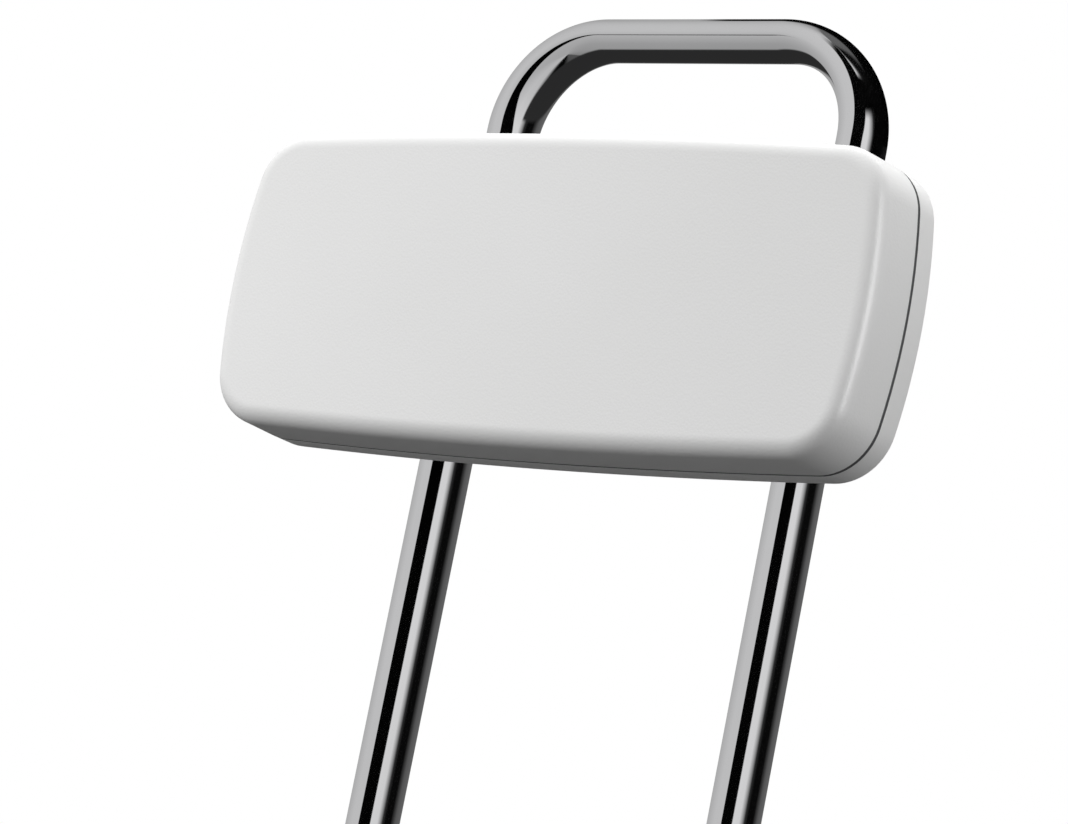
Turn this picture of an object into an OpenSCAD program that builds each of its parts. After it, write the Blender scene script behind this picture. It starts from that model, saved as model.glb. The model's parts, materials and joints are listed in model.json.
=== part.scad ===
// Retail anti-theft gate: a bent oval tube hoop on a floor plate, with a two-shell
// antenna housing clamped in front of it. Millimetres, +Z up, front towards -Y,
// origin on the floor at the centre of the base plate and of the hoop.

/* [Hoop] */
// Height of the top of the hoop above the floor
gate_h = 1500; // [1300:10:1700]
// Distance between the centre lines of the two legs
leg_spacing = 303; // [300:1:310]
// Depth of the oval tube, front to back
tube_depth = 50; // [48:1:52]
// Width of the oval tube, in the plane of the hoop
tube_width = 30; // [28:1:32]
// Radius of the oval's narrow front and back ends
tube_end_r = 10.5; // [9:0.5:12]
// Wall thickness of the tube
tube_wall = 2; // [1.5:0.5:2.5]
// Radius of each top bend at the tube's centre line
bend_r = 75; // [70:0.5:80]

/* [Housing] */
// Width of the housing
housing_w = 545; // [540:1:555]
// Height of the housing
housing_h = 228; // [226:1:234]
// Depth of the front shell, from the parting line to the front face
front_depth = 49; // [48:1:52]
// Depth of the rear shell, from the parting line to the rear face
rear_depth = 23.5; // [23:0.5:26]
// Distance of the rear face in front of the hoop's middle plane
rear_stand_off = 71; // [68:1:74]
// Height of the top bar's centre line above the middle of the housing
loop_rise = 227.5; // [215:0.5:240]
// Radius of the bowed left and right sides
side_arc_r = 479; // [450:1:520]
// Radius of the slightly bowed top and bottom sides
top_arc_r = 5830; // [5000:10:8000]
// Radius of the four corners
corner_r = 42; // [40:1:44]
// Radius of the edge round the front face
front_edge_r = 12; // [11:0.5:16]
// Radius of the edge round the rear face
rear_edge_r = 4; // [3:0.5:5]
// Inward draft of the front shell's sides
front_draft = 1.2; // [0:0.1:1.5]
// Wall thickness of both shells
shell_wall = 3; // [2.5:0.5:3.5]
// Thickness of the grey seal in the parting line
seal_t = 3.2; // [1.2:0.4:3.2]

/* [Base] */
// Width of the base plate
plate_w = 520; // [500:10:540]
// Depth of the base plate
plate_d = 300; // [300:2:340]
// Thickness of the base plate
plate_t = 10; // [8:1:12]
// Distance between the floor anchors from side to side
anchor_x = 460; // [440:10:460]
// Distance between the floor anchors from front to back
anchor_y = 240; // [230:10:250]
// Diameter of the anchor holes
anchor_d = 13; // [11:1:14]
// Diameter of the cable hole under the right leg
cable_hole_d = 18; // [12:1:18]

/* [Clamps] */
// Height of the upper and lower clamps above and below the housing's middle
clamp_dz = 56; // [50:1:60]
// Width of a clamp block
clamp_w = 70; // [68:1:70]
// Height of a clamp block
clamp_h = 40; // [36:1:44]
// Thickness of the clamp cap behind the tube
clamp_back = 36; // [34:1:40]
// Distance of each clamp screw from the leg's centre line
clamp_screw_dx = 25; // [24:0.5:26]

/* [Service door] */
// Width of the door opening
door_open_w = 184; // [182:1:184]
// Height of the door opening
door_open_h = 100; // [96:2:104]
// Gap round the closed door
door_gap = 1; // [0.8:0.1:1.5]
// Angle of the open door
door_angle = 0; // [0:1:100]
// Angle of the lock cam from its unlocked position
lock_angle = 0; // [0:1:90]

/* [Hidden] */
$fn = 64;
fit = 0.3;
running = 0.05;

rear_y = -rear_stand_off;
seam_y = rear_y - rear_depth;
front_y = seam_y - front_depth;
inner_rear_y = rear_y - shell_wall;
inner_front_y = front_y + shell_wall;
bar_z = gate_h - tube_width / 2;
housing_z = bar_z - loop_rise;
leg_x = leg_spacing / 2;

half_w = housing_w / 2;
half_h = housing_h / 2;
side_n = 4;
corner_n = 8;
top_n = 5;
edge_n = 5;

flange_t = 8;
flange_w = 96;
flange_d = 116;
flange_bolt_x = 32;
flange_bolt_y = 42;
stub_h = 90;
stub_wall = 3;
stub_gap = 0.1;
leg_bottom_z = plate_t + flange_t;
leg_screw_z = plate_t + 75;
cover_h = 34;

post_r = 6;
shell_screw_r = 2;
corner_screw = [244, 77];
middle_screw_z = 98;

chassis_w = 380;
chassis_h = 176;
chassis_t = 2;
window_w = 174;
window_h = 88;
chassis_y = inner_rear_y - chassis_t;

tray_w = 212;
tray_h = 134;
tray_wall = 1.5;
tray_rim = 8;
tray_floor_y = -118;
tray_fix_x = 110;
tray_fix_z = 58;
stand_h = 8;
board_w = 160;
board_h = 100;
board_t = 1.6;
board_y = tray_floor_y + tray_wall + stand_h + board_t;

former_y = -125;
former_t = 3;
coil_r = 4;
coil_y = former_y - former_t - coil_r;
former_w = 460;
former_h = 176;
former_post = [204, 65];

clamp_screw_r = 3;
clamp_split = 0.5;
clamp_head_depth = 8;

hinge_x = -96;
hinge_y = rear_y + 5;
hinge_r = 4;
hinge_screw_x = hinge_x - 11;
hinge_screw_z = 32;
hinge_pin_r = 2;
knuckle = [[-40, -24], [-23.7, -8.3], [-8, 8], [8.3, 23.7], [24, 40]];
door_t = 2.7;
lock_x = 77;
lock_r = 5;
cam_len = 22;
cam_y = rear_y - 11;
tamper_x = -75;
tamper_z = -22;
tamper_r = 2;
tamper_top_y = rear_y - door_t - fit;

sounder_x = 212;

// ---- shared shapes ----

module rounded_rect(w, h, r) {
  square([w - 2 * r, h], center = true);
  square([w, h - 2 * r], center = true);
  for (x = [-1, 1], y = [-1, 1])
    translate([x * (w / 2 - r), y * (h / 2 - r)]) circle(r = r);
}

// The tube's oval, moved inwards by inset: two narrow end arcs that run smoothly into two wide side arcs
module tube_oval(inset) {
  a = tube_width / 2 - tube_end_r;
  c = tube_depth / 2 - tube_end_r;
  wide_c = (c * c - a * a) / (2 * a);
  wide_r = wide_c + tube_width / 2;
  meet_y = wide_r * c / (wide_r - tube_end_r);
  intersection() {
    translate([-wide_c, 0]) circle(r = wide_r - inset);
    translate([wide_c, 0]) circle(r = wide_r - inset);
    square([tube_width + 2, 2 * meet_y * (wide_r - inset) / wide_r], center = true);
  }
  for (y = [-1, 1])
    translate([0, y * c]) circle(r = tube_end_r - inset);
}

// Extrudes a shape drawn in X and Z along Y, from y0 to y1
module along_y(y0, y1) {
  translate([0, y1, 0]) rotate([90, 0, 0]) linear_extrude(y1 - y0) children();
}

module rod_y(r, y0, y1) {
  translate([0, y1, 0]) rotate([90, 0, 0]) cylinder(r = r, h = y1 - y0);
}

module at_housing() {
  translate([0, 0, housing_z]) children();
}

module four(p) {
  for (x = [-1, 1], z = [-1, 1])
    translate([x * p[0], 0, z * p[1]]) children();
}

// Closed loop of round wire bundle, in the X-Z plane
module loop_coil(w, h, r, bundle_r) {
  for (z = [-1, 1])
    translate([-(w / 2 - r), 0, z * h / 2]) rotate([0, 90, 0]) cylinder(r = bundle_r, h = w - 2 * r);
  for (x = [-1, 1])
    translate([x * w / 2, 0, -(h / 2 - r)]) cylinder(r = bundle_r, h = h - 2 * r);
  for (k = [0:3])
    rotate([0, k * 90, 0])
      translate([(k % 2 == 0 ? w : h) / 2 - r, 0, (k % 2 == 0 ? h : w) / 2 - r])
        rotate([90, 0, 0]) rotate_extrude(angle = 90) translate([r, 0]) circle(r = bundle_r);
}

// ---- housing outline: four bowed sides joined by four round corners ----

// Points first to last of an arc from angle a0 to a1 that is cut into n steps
function arc(c, r, a0, a1, n, first, last) =
  [for (i = [first:last]) let (a = a0 + (a1 - a0) * i / n) c + r * [cos(a), sin(a)]];

// Centre of the corner arc that touches both the side arc and the top arc inside
side_c = [half_w - side_arc_r, 0];
top_c = [0, half_h - top_arc_r];
function touch_centre(a, p, b, q) =
  let (d = norm(b - a), u = (b - a) / d, s = (p * p - q * q + d * d) / (2 * d))
  a + s * u + sqrt(p * p - s * s) * [u[1], -u[0]];
corner_c = touch_centre(top_c, top_arc_r - corner_r, side_c, side_arc_r - corner_r);
side_a = atan2(corner_c[1] - side_c[1], corner_c[0] - side_c[0]);
top_a = atan2(corner_c[1] - top_c[1], corner_c[0] - top_c[0]);

// One quarter of the outline, moved inwards by inset, without its last point
function quarter(inset) =
  concat(
    arc(side_c, side_arc_r - inset, 0, side_a, side_n, 0, side_n),
    arc(corner_c, corner_r - inset, side_a, top_a, corner_n, 1, corner_n),
    arc(top_c, top_arc_r - inset, top_a, 90, top_n, 1, top_n - 1)
  );

function outline(inset) =
  let (q = quarter(inset), n = len(q))
  concat(
    q,
    [[0, half_h - inset]],
    [for (i = [n - 1:-1:0]) [-q[i][0], q[i][1]]],
    [for (i = [1:n - 1]) [-q[i][0], -q[i][1]]],
    [[0, -(half_h - inset)]],
    [for (i = [n - 1:-1:1]) [q[i][0], -q[i][1]]]
  );

// Solid through a stack of outlines, each [y, inset], in order of rising y
module loft(rings) {
  loops = [for (r = rings) [for (p = outline(r[1])) [p[0], r[0], p[1]]]];
  n = len(loops[0]);
  m = len(loops);
  polyhedron(
    points = [for (l = loops) each l],
    faces = concat(
      [[for (i = [n - 1:-1:0]) i]],
      [for (k = [0:m - 2], i = [0:n - 1]) let (j = (i + 1) % n) [k * n + i, k * n + j, (k + 1) * n + i]],
      [for (k = [0:m - 2], i = [0:n - 1]) let (j = (i + 1) % n) [k * n + j, (k + 1) * n + j, (k + 1) * n + i]],
      [[for (i = [0:n - 1]) (m - 1) * n + i]]
    )
  );
}

// Rings of the front shell's skin, from the face to the parting line, at a depth inside it
function front_rings(depth, end_y) =
  let (r = front_edge_r - depth)
  concat(
    [for (i = [edge_n:-1:0]) let (a = 90 * i / edge_n)
      [front_y + depth + r * (1 - sin(a)), front_draft + depth + r * (1 - cos(a))]],
    [[end_y, depth]]
  );

// ---- base ----

module base_plate() color("gainsboro") {
  difference() {
    linear_extrude(plate_t) rounded_rect(plate_w, plate_d, 28);
    for (x = [-1, 1], y = [-1, 1])
      translate([x * anchor_x / 2, y * anchor_y / 2, -1]) cylinder(d = anchor_d, h = plate_t + 2);
    for (s = [-1, 1]) at_flange_bolts(s)
      translate([0, 0, -1]) cylinder(r = 4, h = plate_t + 2);
    translate([leg_x, 0, -1]) cylinder(d = cable_hole_d, h = plate_t + 2);
  }
}

module at_flange_bolts(side) {
  for (x = [-1, 1], y = [-1, 1])
    translate([side * leg_x + x * flange_bolt_x, y * flange_bolt_y, 0]) children();
}

module socket(side) color("silver") {
  stub_inset = tube_wall + stub_gap;
  difference() {
    union() {
      translate([side * leg_x, 0, plate_t]) linear_extrude(flange_t) rounded_rect(flange_w, flange_d, 14);
      translate([side * leg_x, 0, plate_t]) linear_extrude(flange_t + stub_h) tube_oval(stub_inset);
    }
    translate([side * leg_x, 0, plate_t - 1]) linear_extrude(flange_t + stub_h + 2)
      tube_oval(stub_inset + stub_wall);
    at_flange_bolts(side) translate([0, 0, plate_t - 1]) cylinder(r = 4.5, h = flange_t + 2);
    translate([side * leg_x, 0, leg_screw_z]) rod_y(2.5, 0, tube_depth);
  }
}

module socket_bolts() color("dimgray") {
  for (s = [-1, 1]) at_flange_bolts(s) {
    cylinder(r = 4, h = leg_bottom_z + 1);
    translate([0, 0, leg_bottom_z]) difference() {
      cylinder(r = 6.5, h = 8);
      translate([0, 0, 4]) cylinder(r = 3.4, h = 5, $fn = 6);
    }
  }
}

module leg_screws() color("silver") {
  for (s = [-1, 1]) translate([s * leg_x, 0, leg_screw_z]) difference() {
    union() {
      rod_y(2.5, tube_depth / 2 - 8, tube_depth / 2 + 1);
      rod_y(5, tube_depth / 2, tube_depth / 2 + 3);
    }
    rod_y(1.6, tube_depth / 2 + 1, tube_depth / 2 + 4, $fn = 6);
  }
}

module foot_cover(side) color("whitesmoke") {
  wall = 2.5;
  translate([side * leg_x, 0, plate_t]) difference() {
    hull() {
      linear_extrude(20) rounded_rect(flange_w + 14, flange_d + 14, 22, $fn = 32);
      linear_extrude(cover_h) rounded_rect(flange_w - 26, flange_d - 26, 18, $fn = 32);
    }
    hull() {
      translate([0, 0, -1]) linear_extrude(20 - wall + 1)
        rounded_rect(flange_w + 14 - 2 * wall, flange_d + 14 - 2 * wall, 20, $fn = 32);
      translate([0, 0, -1]) linear_extrude(cover_h - wall + 1)
        rounded_rect(flange_w - 26 - 2 * wall, flange_d - 26 - 2 * wall, 16, $fn = 32);
    }
    linear_extrude(cover_h + 1) tube_oval(-0.2);
  }
}

module base_grommet() color("black") {
  translate([leg_x, 0, plate_t]) difference() {
    cylinder(r = cable_hole_d / 2 + 0.8, h = 3);
    translate([0, 0, -1]) cylinder(d = cable_hole_d, h = 5);
  }
}

// ---- hoop ----

module hoop_solid(inset, extra) {
  leg_top_z = bar_z - bend_r;
  for (s = [-1, 1]) {
    translate([s * leg_x, 0, leg_bottom_z - extra]) linear_extrude(leg_top_z - leg_bottom_z + extra)
      tube_oval(inset);
    translate([s * (leg_x - bend_r), 0, leg_top_z]) rotate([90, 0, 0]) rotate([0, 0, s > 0 ? 0 : 90])
      rotate_extrude(angle = 90) translate([bend_r, 0]) tube_oval(inset);
  }
  translate([-(leg_x - bend_r), 0, bar_z]) rotate([0, 90, 0]) linear_extrude(2 * (leg_x - bend_r))
    tube_oval(inset);
}

module hoop_tube() color("silver") {
  difference() {
    hoop_solid(0, 0);
    hoop_solid(tube_wall, 1);
    for (s = [-1, 1]) translate([s * leg_x, 0, leg_screw_z]) rod_y(2.5, 0, tube_depth);
    translate([leg_x, 0, housing_z]) rod_y(8, -tube_depth, 0);
  }
}

// ---- clamps ----

module at_clamp(side, level) {
  translate([side * leg_x, 0, housing_z + level * clamp_dz]) children();
}

module clamp_block(side, level, y0, y1) {
  at_clamp(side, level) difference() {
    along_y(y0, y1) rounded_rect(clamp_w, clamp_h, 6);
    translate([0, 0, -clamp_h]) linear_extrude(2 * clamp_h) tube_oval(-0.1);
    for (x = [-1, 1]) translate([x * clamp_screw_dx, 0, 0]) {
      rod_y(clamp_screw_r + 0.2, y0 - 1, y1 + 1);
      rod_y(5.6, clamp_back - clamp_head_depth, clamp_back + 1);
    }
  }
}

module clamp_base(side, level) color("whitesmoke") clamp_block(side, level, rear_y, -clamp_split);
module clamp_cap(side, level) color("whitesmoke") clamp_block(side, level, clamp_split, clamp_back);

module at_clamp_screws() {
  for (s = [-1, 1], l = [-1, 1], x = [-1, 1])
    at_clamp(s, l) translate([x * clamp_screw_dx, 0, 0]) children();
}

module clamp_screws() color("dimgray") {
  head_y = clamp_back - clamp_head_depth;
  at_clamp_screws() difference() {
    union() {
      rod_y(clamp_screw_r, chassis_y - 8, head_y + 1);
      rod_y(5, head_y, head_y + 6);
    }
    rod_y(2.6, head_y + 2.5, head_y + 7, $fn = 6);
  }
}

module clamp_nuts() color("silver") {
  at_clamp_screws() difference() {
    rod_y(5.8, chassis_y - 5, chassis_y, $fn = 6);
    rod_y(clamp_screw_r, chassis_y - 6, chassis_y + 1);
  }
}

// ---- housing shells ----

module at_shell_screws() {
  at_housing() {
    four(corner_screw) children();
    for (z = [-1, 1]) translate([0, 0, z * middle_screw_z]) children();
  }
}

module at_former_posts() {
  at_housing() four(former_post) children();
}

module front_shell() color("whitesmoke") {
  end_y = seam_y - seal_t / 2;
  difference() {
    union() {
      difference() {
        at_housing() loft(front_rings(0, end_y));
        at_housing() loft(front_rings(shell_wall, end_y + 1));
      }
      at_shell_screws() rod_y(post_r, inner_front_y - 1, end_y);
      at_former_posts() rod_y(post_r, inner_front_y - 1, former_y - former_t);
    }
    at_shell_screws() rod_y(shell_screw_r, end_y - 22, end_y + 1);
    at_former_posts() rod_y(1.5, former_y - former_t - 8, former_y);
  }
}

module parting_seal() color("dimgray") {
  y0 = seam_y - seal_t / 2;
  y1 = seam_y + seal_t / 2;
  at_housing() difference() {
    loft([[y0, 0.6], [y1, 0.6]]);
    loft([[y0 - 1, shell_wall], [y1 + 1, shell_wall]]);
  }
}

module rear_stack_solid(depth, start_y) {
  r = rear_edge_r - min(depth, rear_edge_r - 1);
  top_y = rear_y - depth;
  loft(concat(
    [[start_y, depth]],
    [for (i = [0:edge_n]) let (a = 90 * i / edge_n) [top_y - r * (1 - sin(a)), depth + r * (1 - cos(a))]]
  ));
}

module slots(x) {
  for (k = [-3:3])
    translate([x + k * 6, 0, 0]) along_y(inner_rear_y - 1, rear_y + 1) flat_slot(2.6, 34 - 3 * abs(k));
}

module flat_slot(w, h) {
  square([w, h - w], center = true);
  for (z = [-1, 1]) translate([0, z * (h - w) / 2]) circle(d = w);
}

module rear_shell() color("whitesmoke") {
  start_y = seam_y + seal_t / 2;
  difference() {
    union() {
      difference() {
        at_housing() rear_stack_solid(0, start_y);
        at_housing() rear_stack_solid(shell_wall, start_y - 1);
      }
      at_shell_screws() rod_y(post_r, start_y, rear_y - 1);
    }
    at_shell_screws() {
      rod_y(shell_screw_r + 0.2, start_y - 1, rear_y + 1);
      rod_y(4.2, rear_y - 3.5, rear_y + 1);
    }
    at_clamp_screws() rod_y(clamp_screw_r + 0.2, inner_rear_y - 1, rear_y + 1);
    at_housing() {
      along_y(inner_rear_y - 1, rear_y + 1) rounded_rect(door_open_w, door_open_h, 8);
      translate([leg_x, 0, 0]) rod_y(9, inner_rear_y - 1, rear_y + 1);
      for (z = [-1, 1]) translate([hinge_screw_x, 0, z * hinge_screw_z]) rod_y(1.25, inner_rear_y - 1, rear_y + 1);
      for (s = [-1, 1]) slots(s * sounder_x);
    }
  }
}

module shell_screws() color("silver") {
  at_shell_screws() difference() {
    union() {
      rod_y(shell_screw_r, seam_y - 20, rear_y - 3);
      rod_y(3.8, rear_y - 3.5, rear_y - 1);
    }
    rod_y(1.2, rear_y - 2.2, rear_y, $fn = 6);
  }
}

module cable_duct() color("whitesmoke") {
  at_housing() translate([leg_x, 0, 0]) difference() {
    rod_y(11, rear_y, -tube_depth / 2 + 6);
    rod_y(8, rear_y - 1, 0);
    translate([0, 0, -20]) linear_extrude(40) tube_oval(-0.1);
  }
}

module cable_grommet() color("black") {
  at_housing() translate([leg_x, 0, 0]) difference() {
    union() {
      rod_y(9, inner_rear_y - 0.5, rear_y);
      rod_y(11, chassis_y - 2, chassis_y);
      rod_y(9, chassis_y - 1, inner_rear_y);
    }
    rod_y(6, chassis_y - 3, rear_y + 1);
  }
}

// ---- inside the housing ----

module chassis_plate() color("lightsteelblue") {
  difference() {
    at_housing() along_y(chassis_y, inner_rear_y) difference() {
      rounded_rect(chassis_w, chassis_h, 12);
      rounded_rect(window_w, window_h, 5);
    }
    at_clamp_screws() rod_y(clamp_screw_r + 0.2, chassis_y - 1, inner_rear_y + 1);
    at_housing() {
      translate([leg_x, 0, 0]) rod_y(9, chassis_y - 1, inner_rear_y + 1);
      four([tray_fix_x, tray_fix_z]) rod_y(1.6, chassis_y - 1, inner_rear_y + 1);
      for (z = [-1, 1]) translate([hinge_screw_x, 0, z * hinge_screw_z]) rod_y(1.25, chassis_y - 1, inner_rear_y + 1);
    }
  }
}

module electronics_tray() color("silver") {
  at_housing() difference() {
    union() {
      along_y(tray_floor_y, chassis_y) rounded_rect(tray_w, tray_h, 4);
      along_y(chassis_y - tray_wall, chassis_y) rounded_rect(tray_w + 2 * tray_rim, tray_h, 4);
    }
    along_y(tray_floor_y + tray_wall, chassis_y + 1)
      rounded_rect(tray_w - 2 * tray_wall, tray_h - 2 * tray_wall, 2.5);
    four([tray_fix_x, tray_fix_z]) rod_y(1.6, chassis_y - 3, chassis_y + 1);
    four([board_w / 2 - 6, board_h / 2 - 6]) rod_y(1.5, tray_floor_y - 1, tray_floor_y + tray_wall + 1);
  }
}

module tray_screws() color("silver") {
  at_housing() four([tray_fix_x, tray_fix_z]) {
    rod_y(1.6, chassis_y - 3, inner_rear_y);
    rod_y(3, chassis_y - tray_wall - 2, chassis_y - tray_wall);
  }
}

module antenna_former() color("tan") {
  at_housing() difference() {
    along_y(former_y - former_t, former_y) difference() {
      rounded_rect(former_w, former_h, 24);
      for (s = [-1, 1]) translate([s * 112, 0]) rounded_rect(176, 100, 12);
    }
    four(former_post) rod_y(1.6, former_y - former_t - 1, former_y + 1);
  }
}

module former_screws() color("silver") {
  at_former_posts() {
    rod_y(1.5, former_y - former_t - 7, former_y + 0.5);
    rod_y(3, former_y, former_y + 2);
  }
}

module transmit_coil() color("chocolate") {
  at_housing() translate([0, coil_y, 0]) loop_coil(440, 160, 24, coil_r);
}

module receive_coil(side) color("darkgoldenrod") {
  at_housing() translate([side * 108, former_y - former_t - 3, 0]) loop_coil(184, 130, 18, 3);
}

module main_board() color("darkgreen") {
  at_housing() difference() {
    along_y(board_y - board_t, board_y) rounded_rect(board_w, board_h, 2);
    four([board_w / 2 - 6, board_h / 2 - 6]) rod_y(1.6, board_y - board_t - 1, board_y + 1);
  }
}

module board_standoffs() color("gold") {
  at_housing() four([board_w / 2 - 6, board_h / 2 - 6]) {
    rod_y(3.2, board_y - board_t - stand_h, board_y - board_t, $fn = 6);
    rod_y(1.5, tray_floor_y, board_y + 0.5);
    rod_y(2.8, board_y, board_y + 2);
  }
}

module chip(x, z, w, h, t) {
  translate([x - w / 2, board_y, z - h / 2]) cube([w, t, h]);
}

module board_components() color("dimgray") {
  at_housing() {
    chip(-20, 10, 18, 18, 1.6);
    chip(-48, 14, 10, 14, 1.4);
    chip(8, 14, 12, 8, 1.4);
    chip(-20, -14, 14, 10, 1.4);
    for (k = [0:4]) chip(-66 + k * 9, 38, 6, 3, 2);
    for (k = [0:2]) translate([34 + k * 13, 0, -34]) rod_y(5, board_y, board_y + 16);
    for (k = [0:1]) translate([14, 0, -30 + k * 10]) rod_y(3, board_y, board_y + 9);
    translate([46, board_y, -18]) {
      cube([24, 3, 14]);
      for (k = [0:4]) translate([k * 5.5, 2, 0]) cube([2, 12, 14]);
    }
  }
}

module power_module() color("black") {
  at_housing() translate([26, board_y, 2]) difference() {
    cube([46, 18, 36]);
    for (k = [0:5]) translate([6 + k * 6.5, 16.5, 4]) cube([2, 3, 28]);
  }
}

module terminal_block() color("seagreen") {
  at_housing() translate([-64, board_y, -46]) difference() {
    cube([50, 12, 10]);
    for (k = [0:6]) {
      translate([5 + k * 6.6, 0, 5]) rod_y(2, 9, 13);
      translate([3 + k * 6.6, 2, -1]) cube([4, 4, 5]);
    }
  }
}

module sounder() color("black") {
  at_housing() translate([-sounder_x, 0, 0]) difference() {
    rod_y(19, inner_rear_y - 12, inner_rear_y);
    rod_y(16, inner_rear_y - 3, inner_rear_y + 1);
    rod_y(3, inner_rear_y - 6, inner_rear_y);
  }
}

module tamper_switch() color("dimgray") {
  at_housing() difference() {
    translate([tamper_x - 5, board_y, tamper_z - 4]) cube([10, 28, 8]);
    translate([tamper_x, 0, tamper_z]) rod_y(tamper_r + running, board_y + 12, board_y + 30);
  }
}

module tamper_plunger() color("red") {
  at_housing() translate([tamper_x, 0, tamper_z]) rod_y(tamper_r, board_y + 17, tamper_top_y);
}

// ---- service door, its hinge and its lock ----

module swing(a) {
  translate([hinge_x, hinge_y, 0]) rotate([0, 0, a]) translate([-hinge_x, -hinge_y, 0]) children();
}

module knuckles(list, bore) {
  for (k = list) translate([hinge_x, hinge_y, knuckle[k][0]]) difference() {
    cylinder(r = hinge_r, h = knuckle[k][1] - knuckle[k][0]);
    translate([0, 0, -1]) cylinder(r = bore, h = 40);
  }
}

module service_door() color("whitesmoke") {
  w = door_open_w - 2 * door_gap;
  h = door_open_h - 2 * door_gap;
  at_housing() swing(door_angle) difference() {
    union() {
      along_y(rear_y - door_t, rear_y) rounded_rect(w, h, 7);
      knuckles([1, 3], hinge_pin_r + running);
      for (k = [1, 3]) translate([0, 0, knuckle[k][0]]) {
        l = knuckle[k][1] - knuckle[k][0];
        difference() {
          translate([hinge_x, rear_y + fit, 0]) cube([12, 4.7 + fit, l]);
          translate([hinge_x, hinge_y, -1]) cylinder(r = hinge_r - 0.5, h = l + 2);
        }
        translate([-w / 2 + 0.5, rear_y - 1, 0]) cube([hinge_x + 12 + w / 2 - 0.5, 3, l]);
      }
    }
    translate([lock_x, 0, 0]) rod_y(8, rear_y - door_t - 1, rear_y + 1);
  }
}

module door_gasket() color("black") {
  at_housing() swing(door_angle) along_y(rear_y - door_t - 0.25, rear_y - door_t) difference() {
    rounded_rect(window_w + 6, window_h + 8, 6);
    rounded_rect(window_w + 1, window_h + 2, 5);
  }
}

module hinge_bracket() color("silver") {
  at_housing() {
    difference() {
      union() {
        translate([hinge_x - 17, rear_y, -40]) cube([12, 2, 80]);
        for (k = [0, 2, 4]) translate([hinge_x - 6, rear_y, knuckle[k][0]])
          cube([6, 4, knuckle[k][1] - knuckle[k][0]]);
      }
      translate([hinge_x, hinge_y, -50]) cylinder(r = hinge_r - 0.5, h = 100);
      for (z = [-1, 1]) translate([hinge_screw_x, 0, z * hinge_screw_z]) rod_y(1.25, rear_y - 1, rear_y + 3);
    }
    knuckles([0, 2, 4], hinge_pin_r);
  }
}

module hinge_screws() color("silver") {
  at_housing() for (z = [-1, 1]) translate([hinge_screw_x, 0, z * hinge_screw_z]) {
    rod_y(1.25, chassis_y, rear_y + 2.5);
    rod_y(2.4, rear_y + 2, rear_y + 3.5);
  }
}

module hinge_pin() color("silver") {
  at_housing() translate([hinge_x, hinge_y, -41]) {
    cylinder(r = hinge_pin_r, h = 82);
    translate([0, 0, 81]) cylinder(r = 3, h = 1.5);
  }
}

module lock_body() color("silver") {
  at_housing() swing(door_angle) translate([lock_x, 0, 0]) difference() {
    union() {
      rod_y(8, cam_y + 2.2, rear_y + 1);
      rod_y(11, rear_y, rear_y + 2.5);
    }
    rod_y(lock_r + running, cam_y, rear_y + 4);
  }
}

module lock_turn() {
  at_housing() swing(door_angle) translate([lock_x, 0, 0]) rotate([0, -lock_angle, 0]) children();
}

module lock_barrel() color("darkgray") {
  lock_turn() difference() {
    rod_y(lock_r, cam_y - 1, rear_y + 3);
    translate([-0.75, rear_y, -3]) cube([1.5, 4, 6]);
  }
}

module lock_cam() color("silver") {
  lock_turn() difference() {
    along_y(cam_y, cam_y + 2) {
      circle(r = 7.5);
      translate([-5, -cam_len]) square([10, cam_len]);
    }
    rod_y(lock_r, cam_y - 1, cam_y + 3);
  }
}

base_plate();
socket(-1);  // socket_left
socket(1);  // socket_right
socket_bolts();
leg_screws();
foot_cover(-1);  // foot_cover_left
foot_cover(1);  // foot_cover_right
base_grommet();
hoop_tube();
clamp_base(-1, 1);  // clamp_base_upper_left
clamp_base(1, 1);  // clamp_base_upper_right
clamp_base(-1, -1);  // clamp_base_lower_left
clamp_base(1, -1);  // clamp_base_lower_right
clamp_cap(-1, 1);  // clamp_cap_upper_left
clamp_cap(1, 1);  // clamp_cap_upper_right
clamp_cap(-1, -1);  // clamp_cap_lower_left
clamp_cap(1, -1);  // clamp_cap_lower_right
clamp_screws();
clamp_nuts();
front_shell();
rear_shell();
parting_seal();
shell_screws();
cable_duct();
cable_grommet();
chassis_plate();
electronics_tray();
tray_screws();
antenna_former();
former_screws();
transmit_coil();
receive_coil(-1);  // receive_coil_left
receive_coil(1);  // receive_coil_right
main_board();
board_standoffs();
board_components();
power_module();
terminal_block();
sounder();
tamper_switch();
tamper_plunger();
service_door();
door_gasket();
hinge_bracket();
hinge_screws();
hinge_pin();
lock_body();
lock_barrel();
lock_cam();
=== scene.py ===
# %% [markdown]
# # A retail security gate
# The gate is a chromed oval tube, bent into an upside-down U and bolted to a floor plate, with a
# white two-shell antenna housing clamped in front of it.

# %% Load the frame
import json
import math

import bpy
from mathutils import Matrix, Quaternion, Vector

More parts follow.
